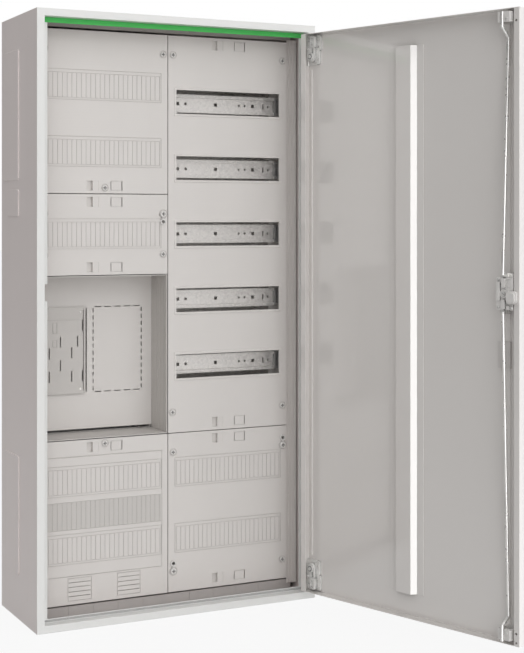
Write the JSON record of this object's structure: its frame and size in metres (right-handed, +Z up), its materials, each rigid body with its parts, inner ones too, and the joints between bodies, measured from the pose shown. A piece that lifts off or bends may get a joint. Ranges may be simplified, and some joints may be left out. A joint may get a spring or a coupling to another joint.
{
  "type": "wall distribution cabinet",
  "caption": "Wall cabinet for meters and modular switchgear: folded steel case, hinged door with rod lock, slotted and break-out covers over device rails, and an open meter bay.",
  "frame": {"origin": "centre of the four wall fixing holes, on the back plane of the cabinet", "axes": "+X to the right of a person who faces the cabinet, +Y into the wall, +Z up; the front of the frame is at Y = -0.225"},
  "size_m": [0.6984, 0.7286, 1.1],
  "materials": {
    "white_paint": "satin powder coat, fine texture",
    "casing_paint": "satin light grey powder coat",
    "door_paint": "satin light grey powder coat",
    "galvanised": "galvanised, soft spangle",
    "cover_plastic": "fine moulded grain",
    "strip_plastic": "fine moulded grain",
    "green_plastic": "semi-gloss",
    "dark_plastic": "moulded",
    "light_plastic": "moulded",
    "foam": "closed foam",
    "brass": "plain",
    "zinc_steel": "bright zinc plate",
    "grey_fitting": "moulded"
  },
  "bodies": {
    "cabinet": {"rear_panel": "galvanised", "left_side_panel": "casing_paint", "right_side_panel": "casing_paint", "top_panel": "casing_paint", "bottom_panel": "casing_paint", "top_entry_plate": "casing_paint", "bottom_entry_plate": "casing_paint", "front_frame": "white_paint", "door_seal": "foam", "green_trim_strip": "green_plastic", "left_upright": "galvanised", "right_upright": "galvanised", "centre_upright": "galvanised", "top_cross_rail": "casing_paint", "bottom_cross_rail": "casing_paint", "side_filler_strips": "strip_plastic", "upright_bolts": "zinc_steel", "open_row_rails": "galvanised", "covered_row_rails": "galvanised", "rail_brackets": "grey_fitting", "top_left_cover": "cover_plastic", "middle_left_cover": "cover_plastic", "bottom_left_cover": "cover_plastic", "top_right_cover": "cover_plastic", "bottom_right_cover": "cover_plastic", "blanking_strip": "strip_plastic", "cover_screws": "light_plastic", "meter_bay_frame": "strip_plastic", "meter_back_plate": "cover_plastic", "meter_plate": "strip_plastic", "meter_plate_screws": "zinc_steel", "neutral_bar": "brass", "earth_bar": "brass", "terminal_screws": "zinc_steel", "bar_supports": "grey_fitting", "earth_stud": "zinc_steel", "hinge_frame_brackets": "zinc_steel", "hinge_pins": "zinc_steel"},
    "door": {"hinge_door_leaves": "zinc_steel", "hinge_bodies": "zinc_steel", "hinge_screws": "zinc_steel", "door_panel": "door_paint", "door_stiffener": "door_paint", "handle_recess_tub": "strip_plastic", "lock_housing": "light_plastic", "lock_cap": "light_plastic", "rod_guides": "light_plastic", "door_screws": "zinc_steel", "handle_escutcheon": "dark_plastic"},
    "handle": {"door_handle": "dark_plastic", "lock_pinion": "zinc_steel"},
    "upper_rod": {"upper_lock_rod": "zinc_steel"},
    "lower_rod": {"lower_lock_rod": "zinc_steel"},
    "turn_lock_middle_left": {"middle_left_turn_lock": "light_plastic"},
    "turn_lock_bottom_right_upper": {"bottom_right_upper_turn_lock": "light_plastic"},
    "turn_lock_bottom_right_lower": {"bottom_right_lower_turn_lock": "light_plastic"}
  },
  "joints": [
    {"name": "door_hinge", "type": "hinge", "parent": "cabinet", "child": "door", "pos_m": [0.26, -0.226, 0], "axis": [0, 0, 1], "range_deg": [-107, 8]},
    {"name": "handle_turn", "type": "hinge", "parent": "door", "child": "handle", "pos_m": [0.40349, -0.69191, 0.054], "axis": [-0.9563, -0.2924, 0], "range_deg": [0, 90]},
    {"name": "upper_rod_slide", "type": "slide", "parent": "door", "child": "upper_rod", "axis": [0, 0, 1], "range_m": [0, 0.01572]},
    {"name": "lower_rod_slide", "type": "slide", "parent": "door", "child": "lower_rod", "axis": [0, 0, -1], "range_m": [0, 0.01572]},
    {"name": "turn_lock_middle_left_turn", "type": "hinge", "parent": "cabinet", "child": "turn_lock_middle_left", "pos_m": [-0.01, -0.155, 0.188], "axis": [0, 1, 0], "range_deg": [0, 90]},
    {"name": "turn_lock_bottom_right_upper_turn", "type": "hinge", "parent": "cabinet", "child": "turn_lock_bottom_right_upper", "pos_m": [0.2405, -0.155, -0.2635], "axis": [0, -1, 0], "range_deg": [0, 90]},
    {"name": "turn_lock_bottom_right_lower_turn", "type": "hinge", "parent": "cabinet", "child": "turn_lock_bottom_right_lower", "pos_m": [0.0105, -0.155, -0.485], "axis": [0, 1, 0], "range_deg": [0, 90]}
  ],
  "couplings": [
    {"joint": "upper_rod_slide", "follows": "handle_turn", "m_per_rad": 0.01},
    {"joint": "lower_rod_slide", "follows": "handle_turn", "m_per_rad": 0.01}
  ]
}
